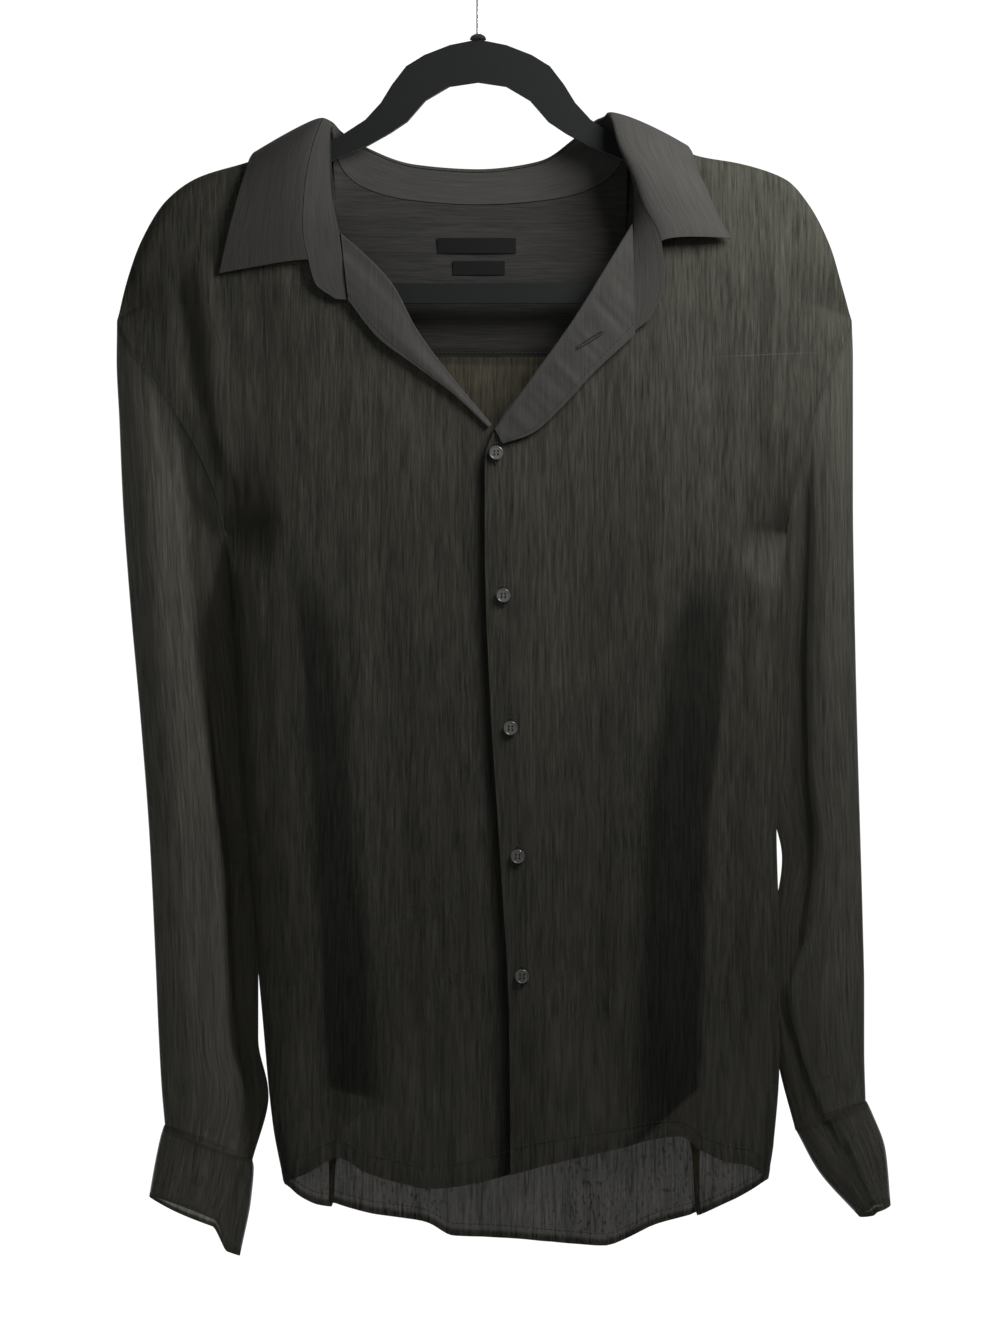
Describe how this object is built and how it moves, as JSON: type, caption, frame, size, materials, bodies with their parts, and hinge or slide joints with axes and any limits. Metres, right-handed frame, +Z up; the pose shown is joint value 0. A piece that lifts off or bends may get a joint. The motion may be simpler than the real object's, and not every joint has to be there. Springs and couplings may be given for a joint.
{
  "type": "button-down blouse on a clothes hanger",
  "caption": "Long-sleeved button-front shirt with a spread collar and turned-out neck opening, hanging flat on a slim flocked hanger with a wire hook.",
  "frame": {"origin": "inside top of the hanger's hook, where a rail carries it", "axes": "+Z up, X to the right as seen from the front, Y away from the viewer, so the garment's front faces -Y; right and left in names are the wearer's sides, right at -X"},
  "size_m": [0.5507, 0.0643, 0.94],
  "materials": {
    "cloth": "matte",
    "velvet": "matte",
    "wire": "polished",
    "button": "satin",
    "label": "satin"
  },
  "bodies": {
    "root": {"hanger_body": "velvet", "hanger_hook": "wire", "hook_ferrule": "velvet", "front_right": "cloth", "front_left": "cloth", "back_yoke": "cloth", "back_panel": "cloth", "button_band": "cloth", "buttonhole_band": "cloth", "collar_stand": "cloth", "collar_leaf": "cloth", "sleeve_right": "cloth", "sleeve_left": "cloth", "cuff_right": "cloth", "cuff_left": "cloth", "sleeve_placket_right": "cloth", "sleeve_placket_left": "cloth", "front_button_1": "button", "front_button_2": "button", "front_button_3": "button", "front_button_4": "button", "front_button_5": "button", "collar_button": "button", "band_button": "button", "cuff_button_right": "button", "cuff_button_left": "button", "neck_label": "label", "size_label": "label"}
  },
  "joints": []
}
